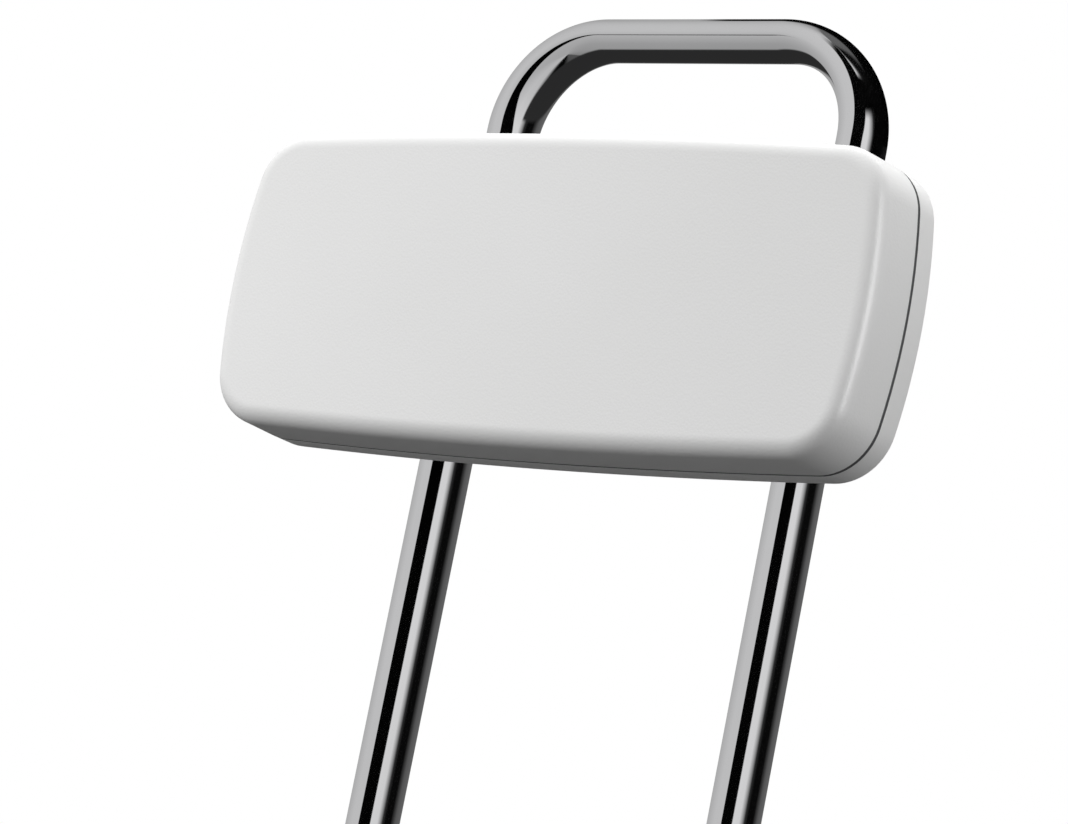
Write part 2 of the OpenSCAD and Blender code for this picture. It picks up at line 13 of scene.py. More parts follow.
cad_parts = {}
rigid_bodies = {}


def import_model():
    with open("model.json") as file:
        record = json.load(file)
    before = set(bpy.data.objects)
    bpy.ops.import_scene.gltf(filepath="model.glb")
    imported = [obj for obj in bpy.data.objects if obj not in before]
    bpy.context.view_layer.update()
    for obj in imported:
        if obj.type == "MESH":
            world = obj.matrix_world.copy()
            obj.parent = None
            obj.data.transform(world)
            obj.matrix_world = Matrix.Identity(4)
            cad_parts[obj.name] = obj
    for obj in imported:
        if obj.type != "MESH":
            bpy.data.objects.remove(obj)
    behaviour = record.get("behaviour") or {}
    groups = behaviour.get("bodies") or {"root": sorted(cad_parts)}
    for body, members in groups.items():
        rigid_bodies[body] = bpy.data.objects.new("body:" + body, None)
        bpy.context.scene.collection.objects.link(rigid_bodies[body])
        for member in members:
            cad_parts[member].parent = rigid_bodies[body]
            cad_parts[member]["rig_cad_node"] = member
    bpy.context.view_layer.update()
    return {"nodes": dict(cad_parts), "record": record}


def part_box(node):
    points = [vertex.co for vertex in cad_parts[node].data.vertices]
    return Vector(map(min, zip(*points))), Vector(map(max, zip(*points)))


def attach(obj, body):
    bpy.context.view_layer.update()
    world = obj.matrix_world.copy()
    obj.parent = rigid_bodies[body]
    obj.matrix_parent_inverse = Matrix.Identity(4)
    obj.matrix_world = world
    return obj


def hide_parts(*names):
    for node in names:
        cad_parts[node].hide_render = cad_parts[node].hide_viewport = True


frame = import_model()

# %% [markdown]
# ## Measures read from the frame
# A person would note down the main sizes before modelling anything. Here the boxes of the packed
# pieces give them: the middle of the housing, its outline and the planes of its two shells.

# %% Main measures
MM = 0.001
front_low, front_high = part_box("front_shell")
rear_low, rear_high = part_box("rear_shell")
hoop_low, hoop_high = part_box("hoop_tube")
half_w = front_high.x
half_h = (front_high.z - front_low.z) / 2
middle_z = (front_high.z + front_low.z) / 2
front_y = front_low.y
rear_y = rear_high.y
housing_middle = Vector((0, 0, middle_z))
wall = 3 * MM
print("housing", round(half_w * 2, 4), "x", round(half_h * 2, 4), "middle at", round(middle_z, 4))

# %% [markdown]
# ## The camera
# The view looks up at the housing from low on its right, through a long lens that keeps the sides
# of the tube almost parallel, and the camera is rolled so that the gate leans. Writing the place
# as an offset from the housing's middle keeps the framing if the gate's height changes.

# %% Camera
camera_offset = Vector((1.767, -2.528, -0.649))
aim_offset = Vector((-0.0614, -0.0286, -0.0624))
camera_roll = math.radians(11.32)
bpy.ops.object.select_all(action="DESELECT")
bpy.ops.object.camera_add(location=housing_middle + camera_offset)
camera = bpy.context.object
camera.name = "view_camera"
aim = (aim_offset - camera_offset).to_track_quat("-Z", "Y")
camera.rotation_euler = (aim @ Quaternion((0, 0, 1), camera_roll)).to_euler()
camera.data.lens = 148.4
camera.data.sensor_width = 36
bpy.context.scene.camera = camera
print("camera at", tuple(round(c, 3) for c in camera.location))

# %% [markdown]
# ## Helpers for node materials
# Every finish here starts from one shader and a few nodes that vary it. Small helpers that add a
# node and join it keep each finish short enough to read.

# %% Material helpers
def new_finish(name):
    material = bpy.data.materials.new(name)
    material.use_nodes = True
    tree = material.node_tree
    return material, tree, tree.nodes["Principled BSDF"]


def add_node(tree, kind, **settings):
    node = tree.nodes.new(kind)
    for key, value in settings.items():
        if key in node.inputs:
            node.inputs[key].default_value = value
        else:
            setattr(node, key, value)
    return node


def object_place(tree, scale=(1, 1, 1)):
    coordinates = add_node(tree, "ShaderNodeTexCoord")
    mapping = add_node(tree, "ShaderNodeMapping", Scale=scale)
    tree.links.new(coordinates.outputs["Object"], mapping.inputs["Vector"])
    return mapping.outputs["Vector"]


def noise(tree, place, scale, detail=4.0, roughness=0.5):
    node = add_node(tree, "ShaderNodeTexNoise", Scale=scale, Detail=detail, Roughness=roughness)
    tree.links.new(place, node.inputs["Vector"])
    return node.outputs["Fac"]


def ramp(tree, factor, stops):
    node = add_node(tree, "ShaderNodeValToRGB")
    elements = node.color_ramp.elements
    while len(elements) < len(stops):
        elements.new(0.5)
    for element, (position, colour) in zip(elements, stops):
        element.position = position
        element.color = (*colour, 1) if len(colour) == 3 else (colour[0],) * 3 + (1,)
    tree.links.new(factor, node.inputs["Fac"])
    return node.outputs["Color"]


def spread(tree, factor, low, high):
    node = add_node(tree, "ShaderNodeMapRange")
    node.inputs["To Min"].default_value = low
    node.inputs["To Max"].default_value = high
    tree.links.new(factor, node.inputs["Value"])
    return node.outputs["Result"]


def bump(tree, shader, height, strength, distance, under=None):
    node = add_node(tree, "ShaderNodeBump", Strength=strength, Distance=distance)
    tree.links.new(height, node.inputs["Height"])
    if under is not None:
        tree.links.new(under, node.inputs["Normal"])
    tree.links.new(node.outputs["Normal"], shader.inputs["Normal"])
    return node.outputs["Normal"]


print("material helpers ready")

# %% [markdown]
# ## Moulded white plastic
# The housing is injection moulded in a tool whose face was spark eroded, which leaves a fine
# pebbled grain under a soft sheen. Voronoi cells give the pebbles and a finer noise breaks them
# up. The colour drifts by a percent or two, as moulded parts do, and the sheen is uneven where
# hands and cloths have been.

# %% White mouldings
def white_moulding(name, grain, base=0.80, gloss=0.37):
    material, tree, shader = new_finish(name)
    place = object_place(tree)
    drift = noise(tree, place, 5.0, 2.0)
    tone = ramp(tree, drift, [(0.3, (base * 0.985, base * 0.985, base * 0.98)),
                              (0.7, (base * 1.01, base * 1.01, base * 1.008))])
    tree.links.new(tone, shader.inputs["Base Color"])
    smudge = noise(tree, place, 22.0, 5.0, 0.6)
    tree.links.new(spread(tree, smudge, gloss - 0.06, gloss + 0.08), shader.inputs["Roughness"])
    shader.inputs["Specular IOR Level"].default_value = 0.5
    cells = add_node(tree, "ShaderNodeTexVoronoi", feature="SMOOTH_F1", Scale=560.0, Smoothness=0.7)
    tree.links.new(place, cells.inputs["Vector"])
    first = bump(tree, shader, cells.outputs["Distance"], grain, 0.25 * MM)
    fine = noise(tree, place, 1500.0, 3.0)
    bump(tree, shader, fine, grain * 0.5, 0.10 * MM, first)
    return material


shell_white = white_moulding("shell_white", 0.35)
smooth_white = white_moulding("smooth_white", 0.12, base=0.78, gloss=0.42)
print("white mouldings:", shell_white.name, smooth_white.name)

# %% [markdown]
# ## Chrome plate
# Bright chrome over polished steel is almost a mirror. What makes it read as a used tube and not
# as a perfect one is a very slight waviness from the polishing wheel, fine hairlines along the
# tube, and a haze of fingerprints in the roughness.

# %% Chrome and plain metals
def plated(name, tint, low, high, wave=0.02, hairlines=0.03):
    material, tree, shader = new_finish(name)
    shader.inputs["Metallic"].default_value = 1.0
    place = object_place(tree)
    cloud = noise(tree, place, 9.0, 3.0)
    tone = ramp(tree, cloud, [(0.35, tuple(c * 0.97 for c in tint)), (0.65, tint)])
    tree.links.new(tone, shader.inputs["Base Color"])
    haze = noise(tree, place, 38.0, 6.0, 0.65)
    tree.links.new(spread(tree, haze, low, high), shader.inputs["Roughness"])
    slow = bump(tree, shader, noise(tree, place, 14.0, 1.0), wave, 0.5 * MM)
    lines = noise(tree, object_place(tree, (900.0, 900.0, 6.0)), 1.0, 2.0)
    bump(tree, shader, lines, hairlines, 0.02 * MM, slow)
    return material


chrome = plated("chrome_plate", (0.80, 0.80, 0.81), 0.03, 0.07)
zinc = plated("zinc_plate", (0.62, 0.63, 0.64), 0.24, 0.42, 0.05, 0.25)
screw_steel = plated("screw_steel", (0.42, 0.42, 0.44), 0.22, 0.36, 0.04, 0.10)
brass = plated("brass_turned", (0.72, 0.52, 0.22), 0.18, 0.30, 0.04, 0.10)
print("metals:", chrome.name, zinc.name, screw_steel.name, brass.name)

# %% [markdown]
# ## Paint, rubber, laminate and moulded plastics
# The remaining finishes are small or hidden, but each still needs its own grain: orange peel on
# powder coat, a dusty bloom on rubber, weave in circuit laminate.

# %% Other finishes
def coated(name, colour, gloss, peel_scale, peel, drift=0.06, metal=0.0):
    material, tree, shader = new_finish(name)
    shader.inputs["Metallic"].default_value = metal
    place = object_place(tree)
    cloud = noise(tree, place, 18.0, 4.0)
    dark = tuple(c * (1 - drift) for c in colour)
    light = tuple(min(1.0, c * (1 + drift)) for c in colour)
    tree.links.new(ramp(tree, cloud, [(0.3, dark), (0.7, light)]), shader.inputs["Base Color"])
    rub = noise(tree, place, 60.0, 5.0, 0.6)
    tree.links.new(spread(tree, rub, gloss - 0.07, gloss + 0.09), shader.inputs["Roughness"])
    bump(tree, shader, noise(tree, place, peel_scale, 2.0), peel, 0.08 * MM)
    return material


powder_coat = coated("powder_coat", (0.74, 0.74, 0.73), 0.42, 420.0, 0.35)
seal_grey = coated("seal_grey", (0.085, 0.085, 0.088), 0.6, 900.0, 0.3)
black_rubber = coated("black_rubber", (0.022, 0.022, 0.023), 0.72, 700.0, 0.4, 0.25)
component_black = coated("component_black", (0.03, 0.03, 0.032), 0.45, 800.0, 0.3, 0.2)
terminal_green = coated("terminal_green", (0.05, 0.27, 0.10), 0.38, 600.0, 0.15)
plunger_red = coated("plunger_red", (0.50, 0.03, 0.02), 0.35, 600.0, 0.1)
board_green = coated("board_green", (0.015, 0.13, 0.045), 0.28, 260.0, 0.5, 0.2)
former_laminate = coated("former_laminate", (0.42, 0.31, 0.17), 0.5, 350.0, 0.5, 0.12)
coil_enamel = coated("coil_enamel", (0.36, 0.13, 0.05), 0.3, 500.0, 0.3, 0.15, 0.6)
print("coatings ready")

# %% [markdown]
# ## Dress the frame's own pieces
# Screws, boards, brackets and other small pieces already have their true shape in the frame, so
# they keep their meshes and only take a finish. The record's slot says which finish each takes.

# %% Finish of every slot
finish_of_slot = {
    "chrome_tube": chrome, "white_shell": shell_white, "seal_grey": seal_grey,
    "clamp_white": smooth_white, "base_paint": powder_coat, "zinc": zinc,
    "screw_steel": screw_steel, "black_rubber": black_rubber, "former_board": former_laminate,
    "coil_copper": coil_enamel, "board_green": board_green, "brass": brass,
    "component_black": component_black, "terminal_green": terminal_green,
    "plunger_red": plunger_red, "lock_chrome": chrome,
}
slot_of_node = {row["node"]: row["material_slot"] for row in frame["record"]["subparts"]}
for node_name, node_object in frame["nodes"].items():
    node_object.data.materials.clear()
    node_object.data.materials.append(finish_of_slot[slot_of_node[node_name]])
print("dressed", len(frame["nodes"]), "frame pieces")

# %% [markdown]
# ## Modelling helpers
# These are the moves a person repeats by hand: clear the selection, enter edit mode, pick faces or
# edges by where they are, and apply a modifier. A boolean cut takes its cutter away afterwards.

# %% Modelling helpers
def clear_selection():
    if bpy.context.object and bpy.context.object.mode != "OBJECT":
        bpy.ops.object.mode_set(mode="OBJECT")
    bpy.ops.object.select_all(action="DESELECT")


def take(piece):
    clear_selection()
    piece.select_set(True)
    bpy.context.view_layer.objects.active = piece


def edit(piece, mode="FACE"):
    take(piece)
    bpy.ops.object.mode_set(mode="EDIT")
    bpy.ops.mesh.select_mode(type=mode)


def pick(piece, kind, test):
    """Selects the edges or faces that pass a test, and nothing else."""
    bpy.ops.mesh.select_all(action="DESELECT")
    bpy.ops.object.mode_set(mode="OBJECT")
    mesh = piece.data
    if kind == "faces":
        for face in mesh.polygons:
            face.select = test(face.center, face.normal)
    else:
        for edge in mesh.edges:
            a, b = (mesh.vertices[i].co for i in edge.vertices)
            edge.select = test(a, b)
    bpy.ops.object.mode_set(mode="EDIT")


def modify(piece, kind, **settings):
    take(piece)
    modifier = piece.modifiers.new(kind.lower(), kind)
    for key, value in settings.items():
        setattr(modifier, key, value)
    bpy.ops.object.modifier_apply(modifier=modifier.name)


def cut(piece, cutter):
    modify(piece, "BOOLEAN", object=cutter, operation="DIFFERENCE", solver="EXACT")
    bpy.data.objects.remove(cutter, do_unlink=True)


def settle(piece):
    """Puts the piece's place into its mesh and leaves the object at the origin."""
    take(piece)
    bpy.ops.object.transform_apply(location=True, rotation=True, scale=True)


def finish_piece(piece, name, material, body, replaced=None, angle=32):
    settle(piece)
    piece.name = name
    piece.data.name = name
    piece.data.materials.clear()
    piece.data.materials.append(material)
    take(piece)
    bpy.ops.object.shade_smooth_by_angle(angle=math.radians(angle))
    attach(piece, body)
    if replaced:
        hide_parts(replaced)
    print(name, len(piece.data.polygons), "faces")
    return piece


# %% [markdown]
# ## The housing's outline
# Seen from the front, the housing is a rectangle whose four sides bow out and whose corners are
# round. A circle is a good start for it: it has the right number of points and closes on itself.
# Each point then moves onto the outline, which is worked out from three radii. The same outline at
# a small inset gives the seal and the drafted front.

# %% Outline from three radii
side_radius = 479 * MM
top_radius = 5830 * MM
corner_radius = 42 * MM
side_steps, corner_steps, top_steps = 6, 14, 12


def corner_centre():
    a = Vector((0, half_h - top_radius))
    b = Vector((half_w - side_radius, 0))
    p, q = top_radius - corner_radius, side_radius - corner_radius
    d = (b - a).length
    u = (b - a) / d
    s = (p * p - q * q + d * d) / (2 * d)
    return a + s * u + math.sqrt(p * p - s * s) * Vector((u.y, -u.x))


def arc_points(centre, radius, start, end, steps):
    turns = [start + (end - start) * i / steps for i in range(steps + 1)]
    return [centre + radius * Vector((math.cos(t), math.sin(t))) for t in turns]


def outline_points(inset):
    middle = corner_centre()
    side_middle = Vector((half_w - side_radius, 0))
    top_middle = Vector((0, half_h - top_radius))
    side_turn = math.atan2(middle.y - side_middle.y, middle.x - side_middle.x)
    top_turn = math.atan2(middle.y - top_middle.y, middle.x - top_middle.x)
    quarter = arc_points(side_middle, side_radius - inset, 0, side_turn, side_steps)
    quarter += arc_points(middle, corner_radius - inset, side_turn, top_turn, corner_steps)[1:]
    quarter += arc_points(top_middle, top_radius - inset, top_turn, math.pi / 2, top_steps)[1:]
    left = [Vector((-p.x, p.y)) for p in reversed(quarter[:-1])]
    upper = quarter + left
    lower = [Vector((p.x, -p.y)) for p in reversed(upper[1:-1])]
    return upper + lower


def outline_disc(y, inset):
    """A flat disc of the housing's outline that stands at depth y."""
    points = outline_points(inset)
    clear_selection()
    bpy.ops.mesh.primitive_circle_add(vertices=len(points), radius=half_h, fill_type="NGON")
    disc = bpy.context.object
    for vertex, point in zip(disc.data.vertices, points):
        vertex.co = (point.x, y, middle_z + point.y)
    return disc


print("outline of", len(outline_points(0)), "points")

# %% [markdown]
# ## The front shell
# The front shell is a deep tray. Its outline is extruded forwards, the front end is drawn in a
# little for the mould's draft, and the rim of the face is bevelled to the large soft radius that
# catches the light. An inset just inside the bevel keeps the face itself flat in the shading. The
# back is opened and Solidify gives the wall its thickness.

# %% Front shell
front_edge = 12 * MM
front_draft = 1.2 * MM
rim_round = 0.3 * MM
seam_front_y = front_high.y


def extrude_to(piece, y_from, y_to):
    edit(piece, "FACE")
    bpy.ops.mesh.select_all(action="SELECT")
    bpy.ops.mesh.extrude_region_move(TRANSFORM_OT_translate={"value": (0, y_to - y_from, 0)})
    bpy.ops.mesh.select_all(action="SELECT")
    bpy.ops.mesh.normals_make_consistent(inside=False)


def near(value, target, slack=0.05 * MM):
    return abs(value - target) < slack


def round_end(piece, end_y, radius, segments, draft=0.0):
    """Draws the end face in by the draft and bevels its rim."""
    pick(piece, "faces", lambda c, n: near(c.y, end_y))
    if draft:
        shrink = (1 - draft / half_w, 1, 1 - draft / half_h)
        bpy.ops.transform.resize(value=shrink, center_override=(0, end_y, middle_z))
    pick(piece, "edges", lambda a, b: near(a.y, end_y) and near(b.y, end_y))
    bpy.ops.mesh.bevel(offset=radius, segments=segments, profile=0.5, affect="EDGES")
    pick(piece, "faces", lambda c, n: near(c.y, end_y) and abs(n.y) > 0.999)
    bpy.ops.mesh.inset(thickness=1 * MM)
    bpy.ops.object.mode_set(mode="OBJECT")


def open_end(piece, y):
    edit(piece, "FACE")
    pick(piece, "faces", lambda c, n: near(c.y, y) and abs(n.y) > 0.999)
    bpy.ops.mesh.delete(type="FACE")
    bpy.ops.object.mode_set(mode="OBJECT")


def soften_rim(piece, y):
    """Rounds the rim of a shell a little where it meets the seal."""
    edit(piece, "EDGE")
    pick(piece, "edges", lambda a, b: near(a.y, y) and near(b.y, y))
    bpy.ops.mesh.bevel(offset=rim_round, segments=3, profile=0.5, affect="EDGES")
    bpy.ops.object.mode_set(mode="OBJECT")


front_shell = outline_disc(seam_front_y, 0)
extrude_to(front_shell, seam_front_y, front_y)
round_end(front_shell, front_y, front_edge, 10, front_draft)
open_end(front_shell, seam_front_y)
modify(front_shell, "SOLIDIFY", thickness=wall, offset=-1, use_even_offset=True)
soften_rim(front_shell, seam_front_y)
finish_piece(front_shell, "front_shell_moulding", shell_white, "frame", "front_shell")

# %% [markdown]
# ## The rear shell
# The rear shell is the same outline, shallower and with a tighter edge. Its back carries the
# openings: the service door's aperture, sunk seats for the shell screws, and two groups of slots
# for the sounder and for air. Each opening is cut with a simple solid of its own shape.

# %% Rear shell
rear_edge = 4 * MM
seam_rear_y = rear_low.y
rear_shell = outline_disc(seam_rear_y, 0)
extrude_to(rear_shell, seam_rear_y, rear_y)
round_end(rear_shell, rear_y, rear_edge, 6)
open_end(rear_shell, seam_rear_y)
modify(rear_shell, "SOLIDIFY", thickness=wall, offset=-1, use_even_offset=True)
soften_rim(rear_shell, seam_rear_y)


def round_block(x, z, width, height, y0, y1, corner, segments=6):
    """A block along Y with its four long edges rounded."""
    clear_selection()
    block_size = (width, y1 - y0, height)
    bpy.ops.mesh.primitive_cube_add(size=1, location=(x, (y0 + y1) / 2, z), scale=block_size)
    block = bpy.context.object
    settle(block)
    edit(block, "EDGE")
    pick(block, "edges", lambda a, b: near(a.x, b.x) and near(a.z, b.z))
    bpy.ops.mesh.bevel(offset=corner, segments=segments, affect="EDGES")
    bpy.ops.object.mode_set(mode="OBJECT")
    return block


def peg(x, z, radius, y0, y1, sides=32):
    """A round peg along Y."""
    clear_selection()
    bpy.ops.mesh.primitive_cylinder_add(vertices=sides, radius=radius, depth=y1 - y0,
                                        location=(x, (y0 + y1) / 2, z), rotation=(math.pi / 2, 0, 0))
    return bpy.context.object


def joined(pieces):
    clear_selection()
    for piece in pieces:
        piece.select_set(True)
    bpy.context.view_layer.objects.active = pieces[0]
    bpy.ops.object.join()
    settle(pieces[0])
    return pieces[0]


door_low, door_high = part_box("service_door")
door_gap = 1 * MM
aperture_w = 184 * MM
corner_seat_x, corner_seat_z, middle_seat_z = 244, 77, 98
seat_radius = 4.2 * MM
aperture_h = door_high.z - door_low.z + 2 * door_gap
slot_x = 212 * MM
through = (rear_y - 6 * MM, rear_y + 2 * MM)
cutters = [round_block(0, middle_z, aperture_w, aperture_h, *through, 8 * MM)]
for side in (-1, 1):
    for k in range(-3, 4):
        tall = (34 - 3 * abs(k)) * MM
        slot_place = side * slot_x + k * 6 * MM
        cutters.append(round_block(slot_place, middle_z, 2.6 * MM, tall, *through, 1.29 * MM, 4))
screw_seats = [(x, z) for x in (-corner_seat_x, corner_seat_x) for z in (-corner_seat_z, corner_seat_z)]
screw_seats += [(0, -middle_seat_z), (0, middle_seat_z)]
for x, z in screw_seats:
    cutters.append(peg(x * MM, middle_z + z * MM, seat_radius, *through))
cut(rear_shell, joined(cutters))
finish_piece(rear_shell, "rear_shell_moulding", shell_white, "frame", "rear_shell")

# %% [markdown]
# ## Screw wells and the seal
# Behind each screw seat a well carries the screw through the rear shell, so the seat must not look
# into an empty shell. The seal is the dark line between the shells. It stands a little below the
# surface, so that the line reads as a gap.

# %% Screw wells and seal
seat_depth = 3.5 * MM
wells = []
for x, z in screw_seats:
    well = peg(x * MM, middle_z + z * MM, 6 * MM, seam_rear_y, rear_y - 1.2 * MM)
    cut(well, peg(x * MM, middle_z + z * MM, seat_radius, rear_y - seat_depth, rear_y))
    wells.append(well)
finish_piece(joined(wells), "screw_wells", shell_white, "frame")

seal_low, seal_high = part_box("parting_seal")
seal = outline_disc(seal_low.y, 0.2 * MM)
extrude_to(seal, seal_low.y, seal_high.y)
open_end(seal, seal_low.y)
open_end(seal, seal_high.y)
modify(seal, "SOLIDIFY", thickness=2.4 * MM, offset=-1, use_even_offset=True)
finish_piece(seal, "parting_seal_strip", seal_grey, "frame", "parting_seal")

# %% [markdown]
# ## The hoop
# A tube bender makes the hoop from one straight length, and the modelling follows it: an oval
# section is extruded up one leg, spun round the first bend, extruded along the top, spun round the
# second bend and extruded down the other leg. Solidify then gives the tube its wall.

# %% Hoop
tube_half_w = 15 * MM
tube_half_d = 25 * MM
tube_end_radius = 10.5 * MM
bend_radius = 75 * MM
bend_steps = 48
leg_x = hoop_high.x - tube_half_w
bar_z = hoop_high.z - tube_half_w
bend_z = bar_z - bend_radius


def oval_points(steps=28):
    """The tube's section: two tight end arcs joined by two wide side arcs, all tangent."""
    a, c = tube_half_w - tube_end_radius, tube_half_d - tube_end_radius
    wide = (c * c - a * a) / (2 * a)
    wide_radius = wide + tube_half_w
    meet = math.atan2(c, wide)
    side = arc_points(Vector((-wide, 0)), wide_radius, -meet, meet, steps)
    end = arc_points(Vector((0, c)), tube_end_radius, meet, math.pi - meet, steps)
    half = side + end[1:-1]
    return half + [-p for p in half]


section = oval_points()
clear_selection()
foot_of_leg = (leg_x, 0, hoop_low.z)
bpy.ops.mesh.primitive_circle_add(vertices=len(section), radius=tube_half_w, location=foot_of_leg)
hoop = bpy.context.object
settle(hoop)
for vertex, point in zip(hoop.data.vertices, section):
    vertex.co = (leg_x + point.x, point.y, hoop_low.z)
edit(hoop, "VERT")
bpy.ops.mesh.select_all(action="SELECT")
leg_rise = (0, 0, bend_z - hoop_low.z)
bpy.ops.mesh.extrude_region_move(TRANSFORM_OT_translate={"value": leg_rise})
right_bend, left_bend = (leg_x - bend_radius, 0, bend_z), (bend_radius - leg_x, 0, bend_z)
bpy.ops.mesh.spin(steps=bend_steps, angle=math.pi / 2, center=right_bend, axis=(0, 1, 0))
bar_run = (-2 * (leg_x - bend_radius), 0, 0)
bpy.ops.mesh.extrude_region_move(TRANSFORM_OT_translate={"value": bar_run})
bpy.ops.mesh.spin(steps=bend_steps, angle=math.pi / 2, center=left_bend, axis=(0, 1, 0))
leg_fall = (0, 0, hoop_low.z - bend_z)
bpy.ops.mesh.extrude_region_move(TRANSFORM_OT_translate={"value": leg_fall})
bpy.ops.mesh.select_all(action="SELECT")
bpy.ops.mesh.remove_doubles(threshold=0.01 * MM)
bpy.ops.mesh.normals_make_consistent(inside=False)
modify(hoop, "SOLIDIFY", thickness=2 * MM, offset=-1, use_even_offset=True)
finish_piece(hoop, "chromed_hoop", chrome, "frame", "hoop_tube", 40)
print("hoop box", [round(v, 4) for v in hoop.dimensions])

# %% [markdown]
# ## The foot covers
# A moulded cover hides the bolted flange at the foot of each leg. It starts as a block with round
# corners, its top is extruded and drawn in, the rims are bevelled, and the open underside gets a
# wall. An oval hole lets the tube through.

# %% Foot covers
def oval_peg(x, z0, z1, gap):
    """An upright peg of the tube's section, a little larger by the gap."""
    points = oval_points(12)
    clear_selection()
    bpy.ops.mesh.primitive_cylinder_add(vertices=len(points), radius=tube_half_w, depth=z1 - z0,
                                        location=(x, 0, (z0 + z1) / 2))
    oval = bpy.context.object
    settle(oval)
    for i, point in enumerate(points):
        grown = point + gap * point.normalized()
        for vertex, z in ((oval.data.vertices[2 * i], z0), (oval.data.vertices[2 * i + 1], z1)):
            vertex.co = (x + grown.x, grown.y, z)
    return oval


for side, cover_node in ((-1, "foot_cover_left"), (1, "foot_cover_right")):
    low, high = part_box(cover_node)
    skirt_z = low.z + 20 * MM
    clear_selection()
    bpy.ops.mesh.primitive_cube_add(size=1, location=(side * leg_x, 0, (low.z + skirt_z) / 2),
                                    scale=(high.x - low.x, high.y - low.y, skirt_z - low.z))
    cover = bpy.context.object
    settle(cover)
    edit(cover, "EDGE")
    pick(cover, "edges", lambda a, b: near(a.x, b.x) and near(a.y, b.y))
    bpy.ops.mesh.bevel(offset=22 * MM, segments=10, affect="EDGES")
    pick(cover, "faces", lambda c, n: n.z > 0.99)
    bpy.ops.mesh.extrude_region_move(TRANSFORM_OT_translate={"value": (0, 0, high.z - skirt_z)})
    bpy.ops.transform.resize(value=(70 / 110, 90 / 130, 1), center_override=(side * leg_x, 0, high.z))
    pick(cover, "edges", lambda a, b: near(a.z, high.z) and near(b.z, high.z))
    bpy.ops.mesh.bevel(offset=4 * MM, segments=5, affect="EDGES")
    pick(cover, "edges", lambda a, b: near(a.z, skirt_z) and near(b.z, skirt_z))
    bpy.ops.mesh.bevel(offset=6 * MM, segments=5, affect="EDGES")
    pick(cover, "faces", lambda c, n: n.z < -0.99)
    bpy.ops.mesh.delete(type="FACE")
    bpy.ops.object.mode_set(mode="OBJECT")
    modify(cover, "SOLIDIFY", thickness=2.5 * MM, offset=-1)
    cut(cover, oval_peg(side * leg_x, high.z - 20 * MM, high.z + 5 * MM, 0.3 * MM))
    finish_piece(cover, cover_node + "_moulding", smooth_white, "frame", cover_node, 35)

# %% [markdown]
# ## Soft edges on the other visible parts
# Cut plates and mouldings never have razor edges, and the thin highlight along an edge is what
# makes them look made. The frame's mesh is loose triangles, so a copy is merged and its flat areas
# are dissolved into single faces. A bevel that only takes sharp angles then rounds the edges.

# %% Softened copies
def softened(node_name, width, segments=2, body="frame", angle=40):
    source = frame["nodes"][node_name]
    take(source)
    bpy.ops.object.duplicate()
    piece = bpy.context.object
    del piece["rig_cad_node"]
    edit(piece, "VERT")
    bpy.ops.mesh.select_all(action="SELECT")
    bpy.ops.mesh.remove_doubles(threshold=0.002 * MM)
    bpy.ops.mesh.dissolve_limited(angle_limit=math.radians(0.5))
    bpy.ops.object.mode_set(mode="OBJECT")
    modify(piece, "BEVEL", width=width, segments=segments, limit_method="ANGLE",
           angle_limit=math.radians(angle))
    slot = slot_of_node[node_name]
    return finish_piece(piece, node_name + "_softened", finish_of_slot[slot], body, node_name, 35)


softened("base_plate", 1.5 * MM, 3)
for level in ("upper", "lower"):
    for side in ("left", "right"):
        softened(f"clamp_base_{level}_{side}", 1.2 * MM, 3)
        softened(f"clamp_cap_{level}_{side}", 1.2 * MM, 3)
softened("cable_duct", 0.5 * MM)
softened("socket_bolts", 0.5 * MM)
softened("clamp_screws", 0.4 * MM)
softened("hinge_bracket", 0.3 * MM)
softened("service_door", 0.4 * MM, body="door")
softened("lock_body", 0.4 * MM, body="door")
softened("lock_barrel", 0.3 * MM, body="lock")

# %% [markdown]
# ## Light and surroundings
# White plastic in front of a white background only reads when light falls from above and the
# underside is left dark. The world gives that: bright above, dark below, white where the camera
# looks at it. Chrome shows its surroundings, so mirror-like reflections see a studio wall that is
# mostly pale. A wedge-shaped black flag at the front right, and others behind and high up, draw the
# black lines that run along the tubes and sweep round the bends.

# %% World
world = bpy.data.worlds.new("studio")
bpy.context.scene.world = world
world.use_nodes = True
tree = world.node_tree
tree.nodes.clear()
direction = add_node(tree, "ShaderNodeTexCoord").outputs["Generated"]
axes = add_node(tree, "ShaderNodeSeparateXYZ")
tree.links.new(direction, axes.inputs[0])


def world_math(operation, *values):
    node = add_node(tree, "ShaderNodeMath", operation=operation)
    for socket, value in zip(node.inputs, values):
        if isinstance(value, (int, float)):
            socket.default_value = value
        else:
            tree.links.new(value, socket)
    return node.outputs[0]


x, y, z = axes.outputs
forwards = world_math("MULTIPLY", y, -1.0)
turn = world_math("ARCTAN2", x, forwards)
around = world_math("MULTIPLY_ADD", turn, 1 / (2 * math.pi), 0.5)
height = world_math("MULTIPLY_ADD", z, 0.5, 0.5)


def world_ramp(factor, stops):
    return ramp(tree, factor, [(position, (level,)) for position, level in stops])


def turn_stop(degrees):
    return (degrees + 180) / 360


def rise_stop(degrees):
    return (math.sin(math.radians(degrees)) + 1) / 2


